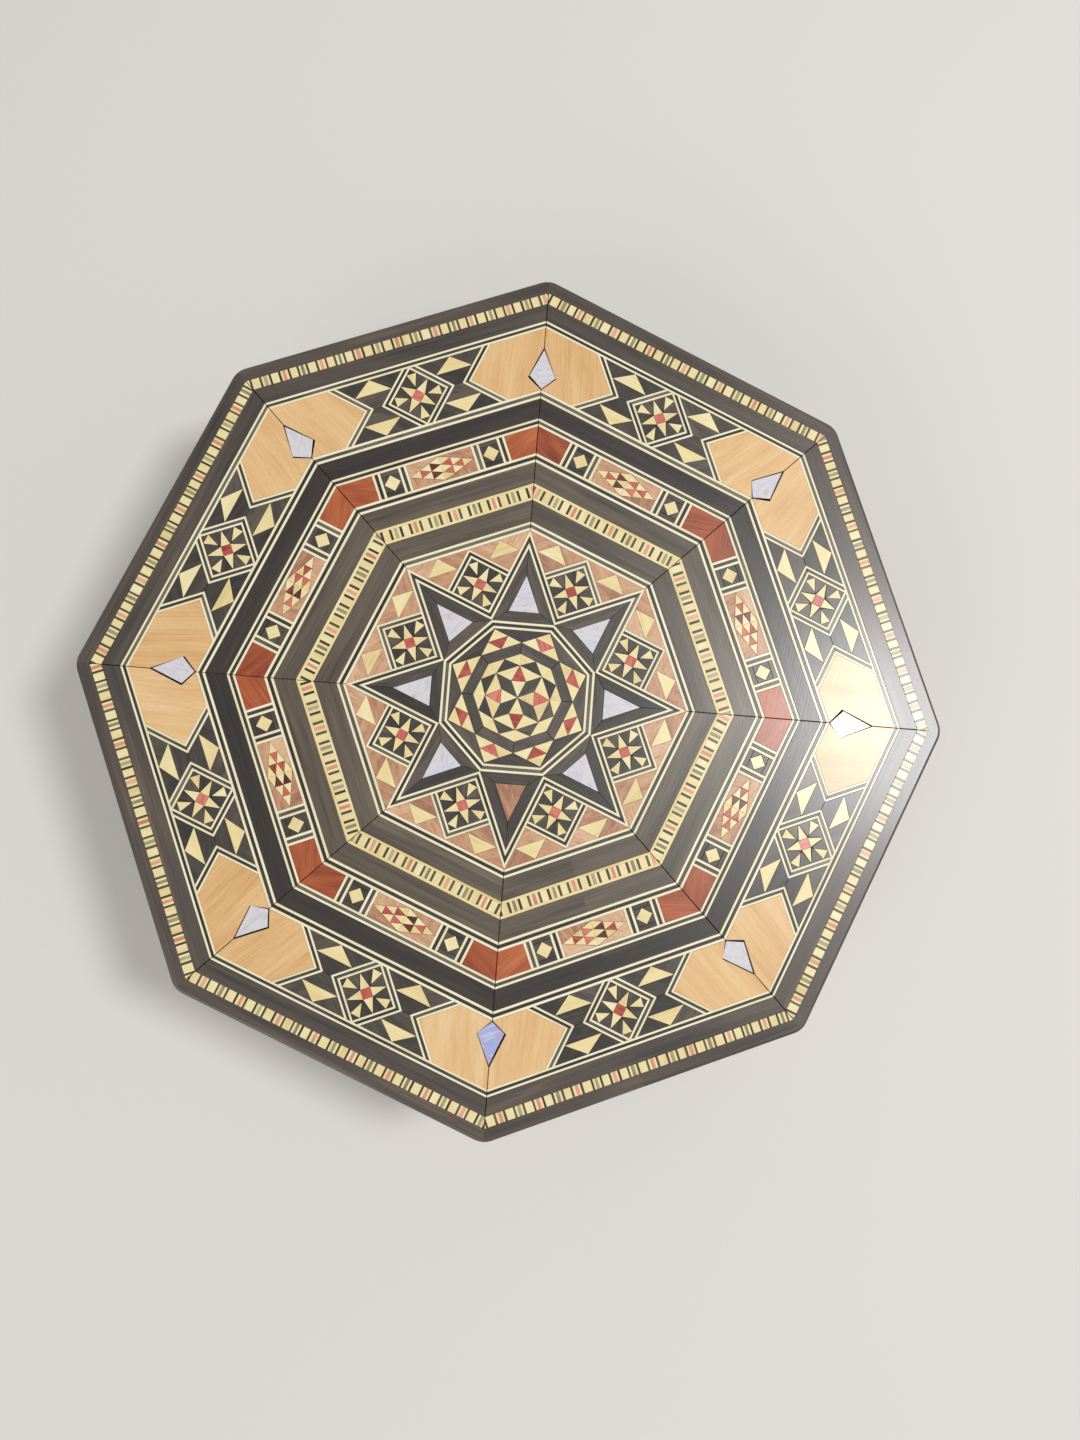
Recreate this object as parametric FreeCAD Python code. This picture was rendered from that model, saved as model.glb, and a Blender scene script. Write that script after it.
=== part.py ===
"""Octagonal inlaid wooden box: a hinged flat lid and a lined case, both faced with marquetry.

Frame: millimetres, +Z up, origin at the centre of the underside, front flat towards -Y and the
hinged flat towards +Y. Side 0 is the hinged back; the sides count anticlockwise seen from above.
On a side or a corner, t runs along the edge (anticlockwise) and r runs straight out from the axis.
"""
import FreeCAD
import Part
import math
import os

# ---- overall sizes ----
ACROSS_FLATS = 222.2
TOTAL_HEIGHT = 62.0
LID_HEIGHT = 18.0          # from the joint line to the top of the lid
CORNER_RADIUS = 6.0        # the eight upright corners are sanded round
TOP_EDGE_RADIUS = 0.9
SIDES = 8

# ---- case ----
FELT_THICK = 0.8
FELT_INSET = 3.0
BASE_THICK = 5.0
WALL_THICK = 8.0
VENEER = 1.5               # every inlaid layer, on the walls and on the lid
PAD_GAP = 0.3              # round every lining pad
FLOOR_PAD_THICK = 4.0
WALL_PAD_THICK = 3.2
WALL_PAD_DROP = 0.8        # lining stops this far below the rim

# ---- lid ----
LID_GAP = 0.3              # between the rim and the lid's rails
RAIL_THICK = 11.8
LID_BOARD_THICK = 6.0
LID_PAD_THICK = 3.6
RAIL_GROOVE_DROP = 7.4     # top of the rail's striped inlay, below the top of the lid

# ---- rings of inlay on the lid, from the edge inwards: widths ----
EDGE_BAND_W = 3.8
STRIPE_W = 2.9
OUTER_WALNUT_W = 4.65
RING_1_W = 1.95
WIDE_BAND_W = 16.75
RING_2_W = 2.3
MIDDLE_WALNUT_W = 5.35
RING_3_W = 2.1
NARROW_BAND_W = 7.2
RING_4_W = 2.4
INNER_WALNUT_W = 5.6
INNER_STRIPE_W = 4.45
CENTRE_WALNUT_W = 5.75
RING_5_W = 2.3

# ---- motifs ----
STRING_W = 1.9             # one white, black and white strip of stringing
TILE_EDGE_GAP = 0.375      # from a star tile's point to the edge of its band
NECK = 2.3                 # dark wood between a tile's frame and the arrow beside it
KITE_LENGTH = 12.1
KITE_WIDTH = 7.9
KITE_SHOULDER = 0.72       # share of the kite's length from its outer tip to its widest place
PANEL_HALF = 9.45          # half the rhombus panel in the narrow band
CROSSBAR_W = 2.35
DIAMOND_TILE_W = 5.2
STAR_STRING_W = 2.0
STAR_BORDER_W = 2.9
CORE_STRING_W = 2.2
CORE_POINT_H = 4.6
CORE_RING_W = 2.9

# ---- inlay stack on the case walls, from the rim down ----
SIDE_TOP_WALNUT_H = 5.4
SIDE_MIDDLE_WALNUT_H = 2.9
SIDE_STRING_H = 1.95
SIDE_BASE_WALNUT_H = 5.5

# ---- hinges: axis inside the back, where two bevels meet and stop the lid ----
HINGE_CENTRE_X = 25.0
HINGE_WIDTH = 26.0
HINGE_INSET = 2.4          # from the back face in to the pin
KNUCKLE_RADIUS = 2.0
KNUCKLES = 5
KNUCKLE_GAP = 0.1
KNUCKLE_ROOM = 0.3
PIN_RADIUS = 0.9
PIN_CLEARANCE = 0.05
LEAF_THICK = 1.0
LEAF_LENGTH = 6.6
SCREW_RADIUS = 0.8
SCREW_HEAD_RADIUS = 1.6
SCREW_LENGTH = 6.0
SCREW_CLEARANCE = 0.03
SCREW_SPACING = 15.6
SCREW_INSET = 4.3          # from the pin to the row of screws
SLOT_WIDTH = 0.4
SLOT_DEPTH = 0.35
LID_OPENS = 95.0
STOP_MARGIN = 3.0          # degrees left between the bevels with the lid open

# ---- worked out ----
SECTOR = 360.0 / SIDES
HALF_TAN = math.tan(math.radians(SECTOR / 2))
HALF_COS = math.cos(math.radians(SECTOR / 2))
ROOT2 = math.sqrt(2)
APOTHEM = ACROSS_FLATS / 2
RIM_Z = TOTAL_HEIGHT - LID_HEIGHT
INLAY_Z = TOTAL_HEIGHT - VENEER
BOARD_Z = INLAY_Z - LID_BOARD_THICK
RAIL_Z = RIM_Z + LID_GAP
FLOOR_Z = FELT_THICK + BASE_THICK
WALL_OUT = APOTHEM - VENEER
WALL_IN = WALL_OUT - WALL_THICK
RAIL_IN = APOTHEM - RAIL_THICK
AXIS_Y = APOTHEM - HINGE_INSET
AXIS_Z = RIM_Z + LID_GAP / 2

os.makedirs("parts", exist_ok=True)
nodes = {}


# ---------------------------------------------------------------- shapes
def side_angle(k):
    return 90 + SECTOR * k


def corner_angle(k):
    return side_angle(k) + SECTOR / 2


def plan(points, angle):
    """Points (t, r) of a side or corner at this angle, as (x, y)."""
    c = math.cos(math.radians(angle))
    s = math.sin(math.radians(angle))
    return [(r * c - t * s, r * s + t * c) for t, r in points]


def anticlockwise(points):
    area = sum(a[0] * b[1] - b[0] * a[1] for a, b in zip(points, points[1:] + points[:1]))
    return points if area > 0 else points[::-1]


def prism(points, z0, z1):
    ring = [FreeCAD.Vector(x, y, z0) for x, y in anticlockwise(points)]
    face = Part.Face(Part.makePolygon(ring + ring[:1]))
    return face.extrude(FreeCAD.Vector(0, 0, z1 - z0))


def upright(points, angle, r0, r1):
    """A flat piece on a wall: points (t, z), from r0 out to r1."""
    c = math.cos(math.radians(angle))
    s = math.sin(math.radians(angle))
    ring = [FreeCAD.Vector(r0 * c - t * s, r0 * s + t * c, z) for t, z in anticlockwise(points)]
    face = Part.Face(Part.makePolygon(ring + ring[:1]))
    return face.extrude(FreeCAD.Vector((r1 - r0) * c, (r1 - r0) * s, 0))


def octagon(apothem):
    return [plan([(0, apothem / HALF_COS)], corner_angle(k))[0] for k in range(SIDES)]


def segment(outer, inner, k, z0, z1, gap=0.0):
    """One mitred length of a ring, between two apothems; gap is taken off each mitre."""
    outline = [(-outer * HALF_TAN + gap, outer), (outer * HALF_TAN - gap, outer),
               (inner * HALF_TAN - gap, inner), (-inner * HALF_TAN + gap, inner)]
    return prism(plan(outline, side_angle(k)), z0, z1)


def ring(outer, inner, z0, z1, gap=0.0):
    return [segment(outer, inner, k, z0, z1, gap) for k in range(SIDES)]


def clip(points, a, b, c):
    """The part of a convex outline where a*x + b*y <= c."""
    kept = []
    for p, q in zip(points, points[1:] + points[:1]):
        dp = a * p[0] + b * p[1] - c
        dq = a * q[0] + b * q[1] - c
        if dp <= 0:
            kept.append(p)
        if dp * dq < 0:
            f = dp / (dp - dq)
            kept.append((p[0] + f * (q[0] - p[0]), p[1] + f * (q[1] - p[1])))
    return kept


def in_sector(points):
    """What lies between the two mitres of a side, in (t, r)."""
    return clip(clip(points, 1, -HALF_TAN, 0), -1, -HALF_TAN, 0)


def solids_of(shape):
    return [s for s in shape.Solids if s.Volume > 1e-6]


def cut_all(solids, cutters):
    """Each solid less the cutters that reach it."""
    result = []
    for solid in solids:
        near = [c for c in cutters if c.BoundBox.intersect(solid.BoundBox)]
        result += solids_of(solid.cut(near)) if near else [solid]
    return result


def trim(solids, limit):
    result = []
    for solid in solids:
        result += solids_of(solid.common(limit))
    return result


def outer_form():
    """The whole block, with its round corners and its eased top edge."""
    block = prism(octagon(APOTHEM), 0, TOTAL_HEIGHT)
    uprights = [e for e in block.Edges if abs(e.Vertexes[0].Z - e.Vertexes[-1].Z) > 1]
    block = block.makeFillet(CORNER_RADIUS, uprights)
    top = [e for e in block.Edges if e.BoundBox.ZMin > TOTAL_HEIGHT - 0.01]
    return block.makeFillet(TOP_EDGE_RADIUS, top)


# ---------------------------------------------------------------- motifs, in (t, v) about a centre
def strip(p, q, width, side):
    """A strip of stringing from p to q, lying to the left (1) or the right (-1) of that line."""
    dx, dy = q[0] - p[0], q[1] - p[1]
    n = side * width / math.hypot(dx, dy)
    return [p, q, (q[0] - dy * n, q[1] + dx * n), (p[0] - dy * n, p[1] + dx * n)]


def band_motif(half, reach):
    """The star band of one side: half its height, and how far its corner panels may reach.

    Everything lies at 45 degrees about a square tile that stands on its corner.
    """
    tile = half - TILE_EDGE_GAP
    frame = tile + STRING_W * ROOT2
    arrow = frame + NECK
    panel = arrow + STRING_W * ROOT2
    motif = {"star_tiles": [[(tile, 0), (0, tile), (-tile, 0), (0, -tile)]],
             "star_frames": [], "wedge_units": [], "arrow_stringing": [], "corner_panels": []}
    for sx in (1, -1):
        motif["corner_panels"].append([(sx * panel, 0), (sx * (panel + half), half),
                                       (sx * reach, half), (sx * reach, -half),
                                       (sx * (panel + half), -half)])
        for sy in (1, -1):
            rod = [(sx * tile, 0), (sx * frame, 0), (0, sy * frame), (0, sy * tile)]
            motif["star_frames"].append(clip(rod, 0, sy, half))
            rod = [(sx * arrow, 0), (sx * panel, 0),
                   (sx * (panel + half), sy * half), (sx * (arrow + half), sy * half)]
            motif["arrow_stringing"].append(rod)
            motif["wedge_units"].append([(sx * frame, 0), (sx * arrow, 0),
                                         (sx * (arrow + half), sy * half),
                                         (sx * (frame - half), sy * half)])
    return motif


def kite(inner_corner):
    """A pearl kite on a mitre, in (t, r): its short tip meets the stringing's corner."""
    tip = inner_corner + KITE_LENGTH
    shoulder = tip - KITE_SHOULDER * KITE_LENGTH
    half = KITE_WIDTH / 2
    return [(0, tip), (half, shoulder), (0, inner_corner), (-half, shoulder)]


# ---------------------------------------------------------------- case
def make_case(form):
    nodes["base_felt"] = [prism(octagon(WALL_OUT - FELT_INSET), 0, FELT_THICK)]
    nodes["base_board"] = [prism(octagon(WALL_OUT), FELT_THICK, FLOOR_Z)]
    nodes["wall_boards"] = ring(WALL_OUT, WALL_IN, FLOOR_Z, RIM_Z)

    pad_out = WALL_IN - PAD_GAP
    pad_in = pad_out - WALL_PAD_THICK
    nodes["wall_pads"] = ring(pad_out, pad_in, FLOOR_Z + PAD_GAP, RIM_Z - WALL_PAD_DROP, PAD_GAP)
    floor = octagon(pad_in - PAD_GAP)
    nodes["floor_pad"] = [prism(floor, FLOOR_Z + PAD_GAP, FLOOR_Z + PAD_GAP + FLOOR_PAD_THICK)]
    make_wall_inlay(form)


def make_wall_inlay(form):
    """Walnut, stripes and stringing above and below one star band, on all eight walls."""
    top = RIM_Z
    walnut = [(top, top - SIDE_TOP_WALNUT_H)]
    stripes = [(walnut[0][1], walnut[0][1] - STRIPE_W)]
    walnut.append((stripes[0][1], stripes[0][1] - SIDE_MIDDLE_WALNUT_H))
    strings = [(walnut[1][1], walnut[1][1] - SIDE_STRING_H)]
    band_top = strings[0][1]

    low = FELT_THICK
    walnut.append((low + SIDE_BASE_WALNUT_H, low))
    stripes.append((walnut[2][0] + STRIPE_W, walnut[2][0]))
    walnut.append((stripes[1][0] + SIDE_MIDDLE_WALNUT_H, stripes[1][0]))
    strings.append((walnut[3][0] + SIDE_STRING_H, walnut[3][0]))
    band_low = strings[1][0]

    for name, levels in (("side_walnut_bands", walnut), ("side_stripe_bands", stripes),
                         ("side_stringing", strings)):
        nodes[name] = []
        for high, low in levels:
            nodes[name] += trim(ring(APOTHEM, WALL_OUT, low, high), form)

    half = (band_top - band_low) / 2
    middle = (band_top + band_low) / 2
    for name, outlines in band_motif(half, APOTHEM * HALF_TAN).items():
        made = []
        for k in range(SIDES):
            for outline in outlines:
                raised = [(t, v + middle) for t, v in outline]
                piece = upright(raised, side_angle(k), WALL_OUT, APOTHEM)
                if name == "corner_panels":
                    piece = piece.common(segment(APOTHEM, WALL_OUT, k, band_low, band_top))
                    piece = piece.common(form)
                made += solids_of(piece)
        nodes["side_" + name] = made


# ---------------------------------------------------------------- lid
def make_lid(form):
    nodes["lid_board"] = [prism(octagon(RAIL_IN), BOARD_Z, INLAY_Z)]
    pad_top = BOARD_Z - PAD_GAP
    nodes["lid_pad"] = [prism(octagon(RAIL_IN - PAD_GAP), pad_top - LID_PAD_THICK, pad_top)]

    groove_top = TOTAL_HEIGHT - RAIL_GROOVE_DROP
    groove = ring(APOTHEM, WALL_OUT, groove_top - STRIPE_W, groove_top)
    rails = ring(APOTHEM, RAIL_IN, RAIL_Z, INLAY_Z)
    nodes["lid_side_stripe"] = trim(groove, form)
    nodes["lid_rim_rails"] = trim(cut_all(rails, groove), form)
    edge = ring(APOTHEM, APOTHEM - EDGE_BAND_W, INLAY_Z, TOTAL_HEIGHT)
    nodes["lid_edge_band"] = trim(edge, form)


def inlay(name, outlines, angle):
    """Add flat pieces of the lid's inlay, given in (t, r) at an angle."""
    made = nodes.setdefault(name, [])
    for outline in outlines:
        made.append(prism(plan(outline, angle), INLAY_Z, TOTAL_HEIGHT))


def make_lid_rings():
    """The plain rings, from the edge band inwards; returns where the worked bands lie."""
    edges = {}
    outer = APOTHEM - EDGE_BAND_W
    for name, width in (("outer_stripe_band", STRIPE_W), ("outer_walnut_band", OUTER_WALNUT_W),
                        ("stringing_ring_1", RING_1_W), ("wide", WIDE_BAND_W),
                        ("stringing_ring_2", RING_2_W), ("middle_walnut_band", MIDDLE_WALNUT_W),
                        ("stringing_ring_3", RING_3_W), ("narrow", NARROW_BAND_W),
                        ("stringing_ring_4", RING_4_W), ("inner_walnut_band", INNER_WALNUT_W),
                        ("inner_stripe_band", INNER_STRIPE_W),
                        ("centre_walnut_band", CENTRE_WALNUT_W), ("stringing_ring_5", RING_5_W)):
        if name in ("wide", "narrow"):
            edges[name] = (outer, outer - width)
        else:
            nodes[name] = ring(outer, outer - width, INLAY_Z, TOTAL_HEIGHT)
        outer -= width
    edges["centre"] = outer
    return edges


def make_wide_band(outer, inner):
    half = (outer - inner) / 2
    middle = (outer + inner) / 2
    motif = band_motif(half, outer * HALF_TAN)
    inner_corner = inner / HALF_COS
    for name, outlines in motif.items():
        for k in range(SIDES):
            placed = [in_sector([(t, v + middle) for t, v in points]) for points in outlines]
            inlay("wide_band_" + name, placed, side_angle(k))
    for k in range(SIDES):
        inlay("wide_band_pearl_kites", [kite(inner_corner)], corner_angle(k))
    panels = nodes["wide_band_corner_panels"]
    nodes["wide_band_corner_panels"] = cut_all(panels, nodes["wide_band_pearl_kites"])


def make_narrow_band(outer, inner):
    """Along each side: block, bar, diamond tile, bar, rhombus panel, bar, diamond tile, bar, block."""
    bar_1 = PANEL_HALF + CROSSBAR_W
    tile = bar_1 + DIAMOND_TILE_W
    bar_2 = tile + CROSSBAR_W
    reach = outer * HALF_TAN

    def piece(t0, t1):
        return in_sector([(t0, inner), (t1, inner), (t1, outer), (t0, outer)])

    for k in range(SIDES):
        inlay("narrow_band_rhombus_panels", [piece(-PANEL_HALF, PANEL_HALF)], side_angle(k))
        for s in (1, -1):
            spans = {"narrow_band_crossbars": [(PANEL_HALF, bar_1), (tile, bar_2)],
                     "narrow_band_diamond_tiles": [(bar_1, tile)],
                     "narrow_band_corner_blocks": [(bar_2, reach)]}
            for name, ends in spans.items():
                inlay(name, [piece(s * a, s * b) for a, b in ends], side_angle(k))


def make_star(apothem):
    """The eight-pointed star of the centre panel; returns the outer apothem of its core.

    Each point is a 45 degree tip in a corner of the panel, and two neighbours meet in a right
    angle on the middle of a side. Stringing lines the points, inside that outline.
    """
    tip = apothem / HALF_COS
    valley = tip * math.cos(math.radians(67.5)) * ROOT2
    core = (valley - STAR_STRING_W * ROOT2) * HALF_COS
    slope = HALF_TAN                       # a point narrows by this from its axis
    sine = math.sin(math.radians(SECTOR / 2))
    string_tip = tip - STAR_STRING_W / sine
    pearl_tip = string_tip - STAR_BORDER_W / sine
    pearl_base = core + STAR_BORDER_W
    valley_t = valley * sine
    valley_r = valley * HALF_COS
    for k in range(SIDES):
        at = corner_angle(k)
        foot = (string_tip - core) * slope
        for s in (1, -1):
            rod = [(0, tip), (s * valley_t, valley_r), (s * foot, core), (0, string_tip)]
            inlay("star_point_stringing", [rod], at)
            pearl_foot = (pearl_tip - pearl_base) * slope
            border = [(0, string_tip), (s * foot, core), (s * pearl_foot, pearl_base),
                      (0, pearl_tip)]
            inlay("star_point_borders", [border], at)
        base = [(-foot, core), (foot, core), (pearl_foot, pearl_base), (-pearl_foot, pearl_base)]
        inlay("star_point_borders", [base], at)
        pearl = [(0, pearl_tip), (pearl_foot, pearl_base), (-pearl_foot, pearl_base)]
        inlay("star_point_pearls", [pearl], at)
    make_valleys(apothem, valley)
    return core


def make_valleys(apothem, valley):
    """Between two star points: a star tile, stringing on its two outer edges, and two wedges."""
    tile = (apothem - valley - STRING_W * ROOT2) / 2
    middle = valley + tile
    frame = tile + STRING_W * ROOT2
    for k in range(SIDES):
        at = side_angle(k)
        square = [(tile, middle), (0, middle + tile), (-tile, middle), (0, valley)]
        inlay("valley_star_tiles", [square], at)
        for s in (1, -1):
            rod = [(0, middle + tile), (0, middle + frame),
                   (s * (tile + STRING_W / ROOT2), middle + STRING_W / ROOT2), (s * tile, middle)]
            inlay("valley_tile_stringing", [rod], at)
            wedge = [(0, apothem), (s * (tile + STRING_W / ROOT2), middle + STRING_W / ROOT2),
                     (s * apothem * HALF_TAN, apothem)]
            inlay("valley_wedge_units", [wedge], at)


def make_core(outer):
    """Stringing, eight pointed units with dark wood between them, a dark ring and the rosette.

    The core's corners lie on the middles of the lid's sides, so its rings take corner angles.
    """
    inner = outer - CORE_STRING_W
    ring_out = inner - CORE_POINT_H
    ring_in = ring_out - CORE_RING_W
    corner = inner / HALF_COS
    ring_corner = ring_out / HALF_COS
    ring_t = ring_out * HALF_TAN
    for k in range(SIDES):
        at = corner_angle(k)
        inlay("core_stringing", [[(-outer * HALF_TAN, outer), (outer * HALF_TAN, outer),
                                  (inner * HALF_TAN, inner), (-inner * HALF_TAN, inner)]], at)
        infill = [(-inner * HALF_TAN, inner), (inner * HALF_TAN, inner), (0, ring_corner)]
        inlay("core_infill_triangles", [infill], at)
        at = side_angle(k)
        inlay("core_point_units", [[(0, corner), (ring_t, ring_out), (-ring_t, ring_out)]], at)
        inlay("core_ring", [[(-ring_t, ring_out), (ring_t, ring_out),
                             (ring_in * HALF_TAN, ring_in), (-ring_in * HALF_TAN, ring_in)]], at)
    nodes["core_rosette"] = [prism(octagon(ring_in), INLAY_Z, TOTAL_HEIGHT)]


# ---------------------------------------------------------------- hinges
def rod_x(radius, x0, x1):
    """A round bar along X on the hinge axis."""
    start = FreeCAD.Vector(x0, AXIS_Y, AXIS_Z)
    return Part.makeCylinder(radius, x1 - x0, start, FreeCAD.Vector(1, 0, 0))


def bevel(up):
    """What is planed off the back edge of the case (up -1) or the lid (up 1)."""
    angle = math.radians((LID_OPENS + STOP_MARGIN) / 2)
    length = 2 * HINGE_INSET
    width = APOTHEM * HALF_TAN + length
    rise = up * length * math.tan(angle)
    outline = [(AXIS_Y, AXIS_Z), (AXIS_Y + length, AXIS_Z + rise), (AXIS_Y + length, AXIS_Z)]
    points = [FreeCAD.Vector(-width, y, z) for y, z in outline]
    face = Part.Face(Part.makePolygon(points + points[:1]))
    return face.extrude(FreeCAD.Vector(2 * width, 0, 0))


def screw(x, up, extra=0.0):
    """A slotted countersunk screw whose head lies in a leaf and whose point goes up or down."""
    face = AXIS_Z + up * LID_GAP / 2
    place = FreeCAD.Vector(x, AXIS_Y - SCREW_INSET, face)
    along = FreeCAD.Vector(0, 0, up)
    head = Part.makeCone(SCREW_HEAD_RADIUS + extra, SCREW_RADIUS + extra, LEAF_THICK, place, along)
    return head.fuse(Part.makeCylinder(SCREW_RADIUS + extra, SCREW_LENGTH + extra, place, along))


def slotted(x, up):
    face = AXIS_Z + up * LID_GAP / 2
    low = min(face, face + up * SLOT_DEPTH)
    corner = FreeCAD.Vector(x - SLOT_WIDTH / 2, AXIS_Y - SCREW_INSET - SCREW_HEAD_RADIUS, low)
    slot = Part.makeBox(SLOT_WIDTH, 2 * SCREW_HEAD_RADIUS, SLOT_DEPTH, corner)
    return screw(x, up).cut(slot)


def leaf(x, up):
    """One leaf of a butt hinge centred on x, with every second knuckle."""
    face = AXIS_Z + up * LID_GAP / 2
    start = x - HINGE_WIDTH / 2
    corner = FreeCAD.Vector(start, AXIS_Y - LEAF_LENGTH, min(face, face + up * LEAF_THICK))
    plate = Part.makeBox(HINGE_WIDTH, LEAF_LENGTH, LEAF_THICK, corner)
    pitch = HINGE_WIDTH / KNUCKLES
    mine = 0 if up < 0 else 1
    for n in range(KNUCKLES):
        if n % 2 != mine:
            room = rod_x(KNUCKLE_RADIUS + KNUCKLE_ROOM, start + n * pitch, start + (n + 1) * pitch)
            plate = plate.cut(room)
    for n in range(mine, KNUCKLES, 2):
        x0 = start + n * pitch + (KNUCKLE_GAP / 2 if n > 0 else 0)
        x1 = start + (n + 1) * pitch - (KNUCKLE_GAP / 2 if n < KNUCKLES - 1 else 0)
        plate = plate.fuse(rod_x(KNUCKLE_RADIUS, x0, x1))
    plate = plate.cut(rod_x(PIN_RADIUS + PIN_CLEARANCE, start - 1, start + HINGE_WIDTH + 1))
    for sx in screw_places(x):
        plate = plate.cut(screw(sx, up, SCREW_CLEARANCE))
    return plate.removeSplitter()


def screw_places(x):
    return [x - SCREW_SPACING / 2, x + SCREW_SPACING / 2]


def mortise(x, up):
    """The pocket that a leaf fills, with room for both leaves' knuckles and its screws."""
    face = AXIS_Z + up * LID_GAP / 2
    start = x - HINGE_WIDTH / 2
    corner = FreeCAD.Vector(start, AXIS_Y - LEAF_LENGTH, min(face, face + up * LEAF_THICK))
    cutters = [Part.makeBox(HINGE_WIDTH, LEAF_LENGTH, LEAF_THICK, corner)]
    room = rod_x(KNUCKLE_RADIUS + KNUCKLE_ROOM, start - KNUCKLE_ROOM,
                 start + HINGE_WIDTH + KNUCKLE_ROOM)
    cutters.append(room)
    return cutters + [screw(sx, up, SCREW_CLEARANCE) for sx in screw_places(x)]


def make_hinges():
    places = (-HINGE_CENTRE_X, HINGE_CENTRE_X)
    halves = (("case", -1, ("wall_boards", "side_walnut_bands")),
              ("lid", 1, ("lid_rim_rails",)))
    for body, up, wooden in halves:
        nodes[body + "_hinge_leaves"] = [s for x in places for s in solids_of(leaf(x, up))]
        screws = [slotted(sx, up) for x in places for sx in screw_places(x)]
        nodes[body + "_hinge_screws"] = [s for shape in screws for s in solids_of(shape)]
        cutters = [bevel(up)] + [c for x in places for c in mortise(x, up)]
        for name in wooden:
            nodes[name] = cut_all(nodes[name], cutters)
    half = HINGE_WIDTH / 2
    nodes["hinge_pins"] = [rod_x(PIN_RADIUS, x - half, x + half) for x in places]


def write():
    for name, solids in nodes.items():
        Part.makeCompound(solids).exportStep("parts/" + name + ".step")
        volume = sum(s.Volume for s in solids)
        print("%-28s %3d solids %10.1f mm3" % (name, len(solids), volume))
    print(len(nodes), "nodes,", sum(len(s) for s in nodes.values()), "solids")


block = outer_form()
make_case(block)
make_lid(block)
bands = make_lid_rings()
make_wide_band(*bands["wide"])
make_narrow_band(*bands["narrow"])
make_core(make_star(bands["centre"]))
make_hinges()
write()
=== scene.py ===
"""Looks for an octagonal inlaid wooden box: every chip of its marquetry, its lining and its brass.

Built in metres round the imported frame. Flat inlay is drawn in millimetres as outlines (t, v): t
runs along a side and v out from the middle on the lid, or up on a wall. One side is drawn, and a
node tree repeats it on all eight.
"""
import math
import random
import bpy
from mathutils import Matrix, Vector


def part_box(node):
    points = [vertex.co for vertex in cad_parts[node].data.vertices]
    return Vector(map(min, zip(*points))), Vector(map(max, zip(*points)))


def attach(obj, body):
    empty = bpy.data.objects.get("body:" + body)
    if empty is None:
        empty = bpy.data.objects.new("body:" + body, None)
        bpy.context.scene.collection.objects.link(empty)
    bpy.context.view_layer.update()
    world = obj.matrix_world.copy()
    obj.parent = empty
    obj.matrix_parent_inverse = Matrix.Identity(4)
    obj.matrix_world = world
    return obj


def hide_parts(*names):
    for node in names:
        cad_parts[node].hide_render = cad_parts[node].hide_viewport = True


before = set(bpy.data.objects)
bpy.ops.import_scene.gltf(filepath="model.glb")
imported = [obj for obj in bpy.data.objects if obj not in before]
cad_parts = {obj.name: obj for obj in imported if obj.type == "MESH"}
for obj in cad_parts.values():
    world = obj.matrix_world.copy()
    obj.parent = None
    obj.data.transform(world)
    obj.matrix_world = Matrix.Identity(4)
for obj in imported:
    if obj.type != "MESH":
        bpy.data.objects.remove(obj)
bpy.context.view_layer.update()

MM = 0.001
SIDES = 8
SECTOR = 2 * math.pi / SIDES
HALF_TAN = math.tan(SECTOR / 2)
HALF_COS = math.cos(SECTOR / 2)
HALF_SIN = math.sin(SECTOR / 2)
ROOT2 = math.sqrt(2)


def reach(node):
    """How far a node comes out from the middle, in millimetres."""
    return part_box(node)[1].x / MM


# ---- levels and rings, all from the frame (mm) ----
LID_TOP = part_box("lid_edge_band")[1].z / MM
INLAY_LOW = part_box("lid_edge_band")[0].z / MM
WALL_FACE = reach("side_stripe_bands")
WALL_BACK = reach("wall_boards")
EDGE = reach("lid_edge_band")
STRIPE_OUT = reach("outer_stripe_band")
WALNUT_OUT = reach("outer_walnut_band")
RING_1 = reach("stringing_ring_1")
WIDE = reach("wide_band_corner_panels")
RING_2 = reach("stringing_ring_2")
WALNUT_MID = reach("middle_walnut_band")
RING_3 = reach("stringing_ring_3")
NARROW = reach("narrow_band_rhombus_panels")
RING_4 = reach("stringing_ring_4")
WALNUT_IN = reach("inner_walnut_band")
STRIPE_IN = reach("inner_stripe_band")
WALNUT_CENTRE = reach("centre_walnut_band")
RING_5 = reach("stringing_ring_5")
PANEL = reach("valley_wedge_units")

# ---- motif sizes, as the frame's own pieces have them (mm) ----
STRING_W = 1.9
WHITE_SHARE = 0.31
TILE_EDGE_GAP = 0.375
NECK = 2.3
KITE_LENGTH = 12.1
KITE_WIDTH = 7.9
KITE_SHOULDER = 0.72
PANEL_HALF = 9.45
CROSSBAR_W = 2.35
DIAMOND_TILE_W = 5.2
DIAMOND_HALF = 2.35
STAR_STRING_W = 2.0
STAR_BORDER_W = 2.9
CORE_STRING_W = 2.2
CORE_POINT_H = 4.6
CORE_RING_W = 2.9
EASE = 0.07               # each chip's edge is eased by this
JOINT = 0.03              # half the glue line round a chip
MITRE = 0.09              # half the line at a mitre
FILLER_DROP = 0.16        # the glue in the joints lies this far below the face


# ------------------------------------------------------------------ outlines
def clip(points, a, b, c):
    """What of an outline lies where a * t + b * v is at most c."""
    kept = []
    for p, q in zip(points, points[1:] + points[:1]):
        dp = a * p[0] + b * p[1] - c
        dq = a * q[0] + b * q[1] - c
        if dp <= 0:
            kept.append(p)
        if dp * dq < 0:
            f = dp / (dp - dq)
            kept.append((p[0] + f * (q[0] - p[0]), p[1] + f * (q[1] - p[1])))
    return kept


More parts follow.
